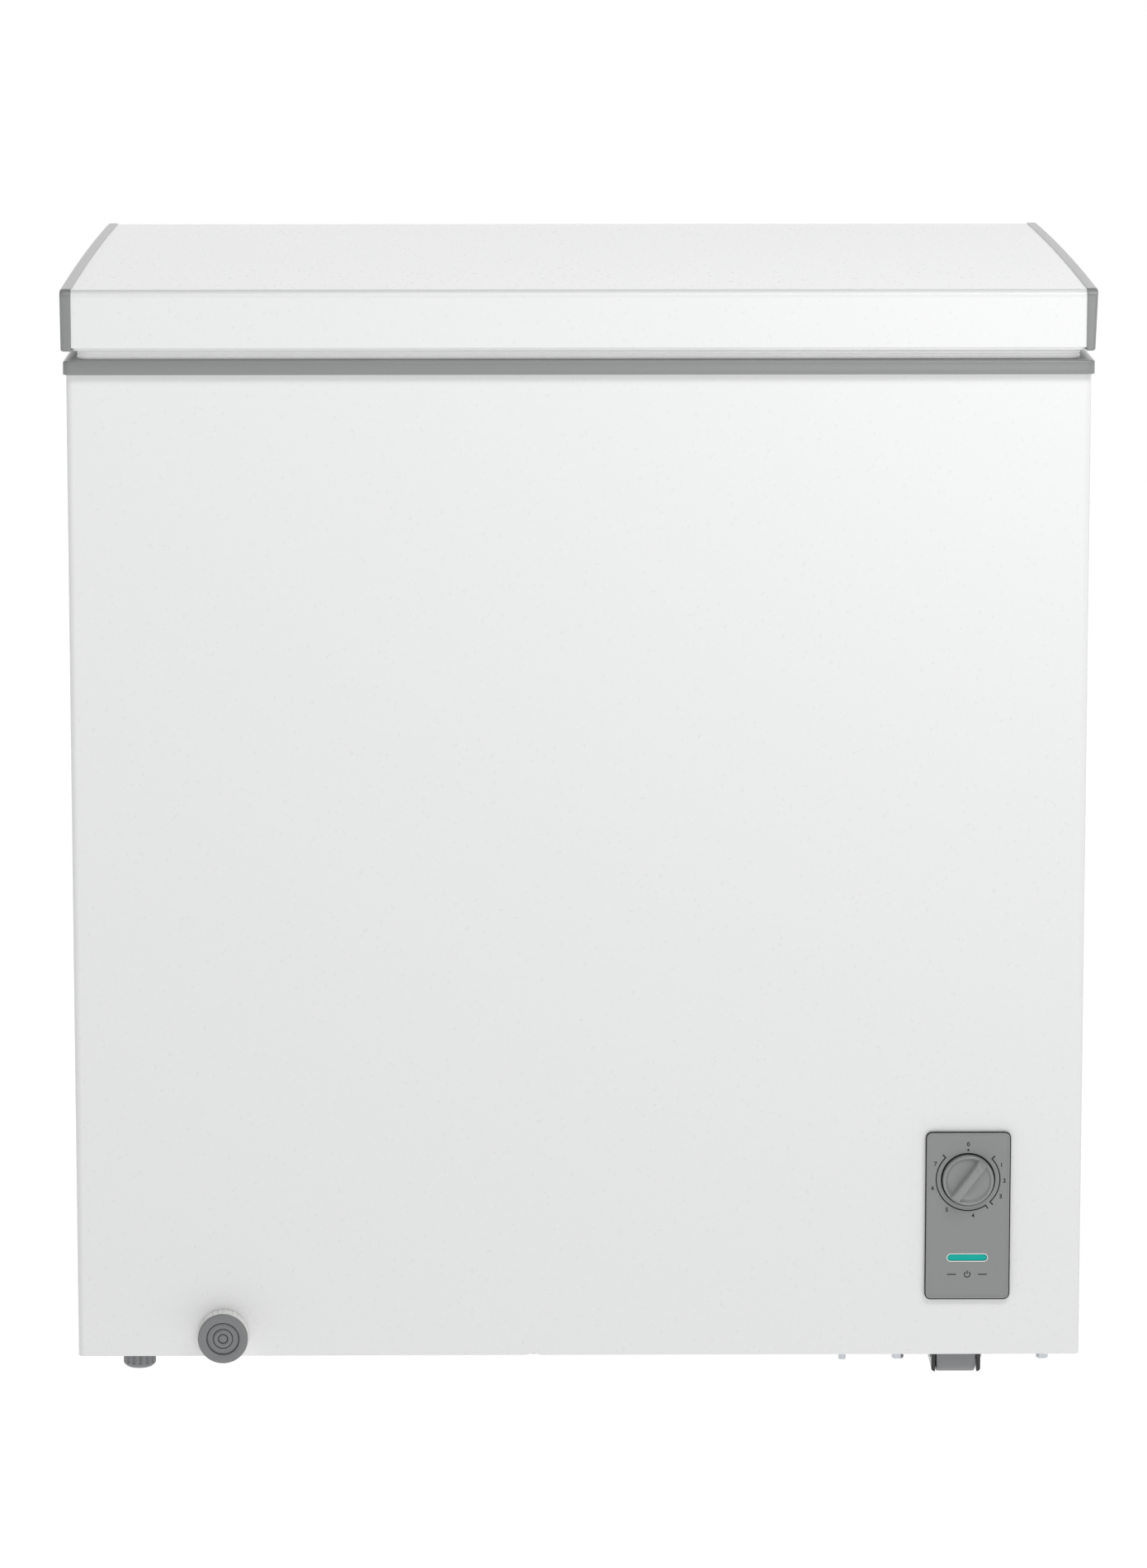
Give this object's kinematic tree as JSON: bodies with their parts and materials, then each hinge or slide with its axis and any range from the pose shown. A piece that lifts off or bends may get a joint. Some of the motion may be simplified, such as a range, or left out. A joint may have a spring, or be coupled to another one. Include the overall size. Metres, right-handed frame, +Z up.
{
  "type": "chest freezer",
  "caption": "Box-shaped chest freezer with a rear-hinged insulated lid, grey collar and end caps, front thermostat knob, pull-out drain dial, levelling feet and rollers.",
  "frame": {"origin": "middle of the outer box, on the floor under the feet and rollers", "axes": "+Z up, +X to the right of someone facing the front, +Y towards the back where the hinges are"},
  "size_m": [0.78, 0.57, 0.8499],
  "materials": {
    "white_painted_steel": "satin powder coat with a fine texture",
    "galvanised_steel": "galvanised, dull",
    "zinc_plated_steel": "zinc plated",
    "grey_moulded_plastic": "fine moulded texture",
    "embossed_aluminium": "stucco embossed",
    "white_moulded_plastic": "smooth",
    "insulating_foam": "closed cell foam",
    "gasket_vinyl": "soft, matt",
    "magnet_strip": "matt",
    "black_painted_steel": "gloss black",
    "copper_tube": "drawn, dull",
    "black_moulded_plastic": "matt",
    "teal_lens": "clear tinted, polished",
    "black_rubber": "matt",
    "white_hinge_steel": "semi-gloss",
    "coated_wire": "plastic-dipped wire, gloss"
  },
  "bodies": {
    "cabinet": {"outer_wrap": "white_painted_steel", "back_panel": "galvanised_steel", "base_pan": "galvanised_steel", "compressor_bay_panel": "galvanised_steel", "compressor_base_plate": "galvanised_steel", "base_plate_bolts": "zinc_plated_steel", "inner_liner": "embossed_aluminium", "collar_frame": "grey_moulded_plastic", "cabinet_foam": "insulating_foam", "evaporator_coil": "copper_tube", "condenser_coil": "copper_tube", "compressor_shell": "black_painted_steel", "compressor_bushes": "black_rubber", "compressor_bolts": "zinc_plated_steel", "starter_cover": "black_moulded_plastic", "filter_drier": "copper_tube", "refrigerant_lines": "copper_tube", "wiring_harness": "black_moulded_plastic", "sensor_tube": "copper_tube", "rear_grille": "galvanised_steel", "back_screws": "zinc_plated_steel", "cord_inlet_gland": "black_moulded_plastic", "control_panel": "grey_moulded_plastic", "power_light_lens": "teal_lens", "lamp_holder": "black_moulded_plastic", "thermostat_body": "zinc_plated_steel", "drain_outlet": "white_moulded_plastic", "drain_tube": "white_moulded_plastic", "foot_sockets": "zinc_plated_steel", "roller_brackets": "black_painted_steel", "roller_axles": "zinc_plated_steel", "hinge_housing_left": "white_hinge_steel", "hinge_housing_right": "white_hinge_steel", "hinge_spring_left": "zinc_plated_steel", "hinge_spring_right": "zinc_plated_steel", "hinge_pins": "zinc_plated_steel"},
    "lid": {"lid_outer_panel": "white_painted_steel", "lid_end_cap_left": "grey_moulded_plastic", "lid_end_cap_right": "grey_moulded_plastic", "lid_liner": "white_moulded_plastic", "lid_foam": "insulating_foam", "lid_gasket": "gasket_vinyl", "gasket_magnets": "magnet_strip", "hinge_arm_left": "white_hinge_steel", "hinge_arm_right": "white_hinge_steel", "hinge_arm_screws": "zinc_plated_steel"},
    "hinge_plunger_left": {"hinge_plunger_left": "black_moulded_plastic"},
    "hinge_plunger_right": {"hinge_plunger_right": "black_moulded_plastic"},
    "knob": {"thermostat_knob": "grey_moulded_plastic", "thermostat_shaft": "zinc_plated_steel"},
    "drain_spout": {"drain_spout": "white_moulded_plastic"},
    "drain_dial": {"drain_dial": "grey_moulded_plastic"},
    "drain_plug": {"drain_plug": "white_moulded_plastic"},
    "basket": {"wire_basket": "coated_wire"},
    "foot_front": {"levelling_foot_front": "grey_moulded_plastic"},
    "foot_rear": {"levelling_foot_rear": "grey_moulded_plastic"},
    "roller_front": {"roller_front": "grey_moulded_plastic"},
    "roller_rear": {"roller_rear": "grey_moulded_plastic"}
  },
  "joints": [
    {"name": "lid_hinge", "type": "hinge", "parent": "cabinet", "child": "lid", "pos_m": [0, 0.275, 0.794], "axis": [-1, 0, 0], "range_deg": [0, 80]},
    {"name": "hinge_plunger_left_slide", "type": "slide", "parent": "cabinet", "child": "hinge_plunger_left", "axis": [0, 0, 1], "range_m": [0, 0.0062], "deforming": ["hinge_spring_left"]},
    {"name": "hinge_plunger_right_slide", "type": "slide", "parent": "cabinet", "child": "hinge_plunger_right", "axis": [0, 0, 1], "range_m": [0, 0.0062], "deforming": ["hinge_spring_right"]},
    {"name": "thermostat_turn", "type": "hinge", "parent": "cabinet", "child": "knob", "pos_m": [0.299, -0.271, 0.1593], "axis": [0, 1, 0], "range_deg": [-37, 278]},
    {"name": "drain_spout_pull", "type": "slide", "parent": "cabinet", "child": "drain_spout", "axis": [0, -1, 0], "range_m": [0, 0.012]},
    {"name": "drain_dial_turn", "type": "hinge", "parent": "drain_spout", "child": "drain_dial", "pos_m": [-0.274, -0.285, 0.038], "axis": [0, 1, 0], "range_deg": [0, 180]},
    {"name": "drain_plug_lift", "type": "slide", "parent": "cabinet", "child": "drain_plug", "axis": [0, 0, 1], "range_m": [0, 0.06]},
    {"name": "basket_slide", "type": "slide", "parent": "cabinet", "child": "basket", "axis": [-1, 0, 0], "range_m": [0, 0.468]},
    {"name": "foot_front_turn", "type": "hinge", "parent": "cabinet", "child": "foot_front", "pos_m": [-0.342, -0.222, 0], "axis": [0, 0, 1], "continuous": true},
    {"name": "foot_rear_turn", "type": "hinge", "parent": "cabinet", "child": "foot_rear", "pos_m": [-0.342, 0.216, 0], "axis": [0, 0, 1], "continuous": true},
    {"name": "roller_front_spin", "type": "hinge", "parent": "cabinet", "child": "roller_front", "pos_m": [0.292, -0.243, 0.015], "axis": [1, 0, 0], "continuous": true},
    {"name": "roller_rear_spin", "type": "hinge", "parent": "cabinet", "child": "roller_rear", "pos_m": [0.292, 0.237, 0.015], "axis": [1, 0, 0], "continuous": true}
  ],
  "couplings": [
    {"joint": "hinge_plunger_left_slide", "follows": "lid_hinge", "m_per_rad": 0.0042972},
    {"joint": "hinge_plunger_right_slide", "follows": "lid_hinge", "m_per_rad": 0.0042972}
  ]
}
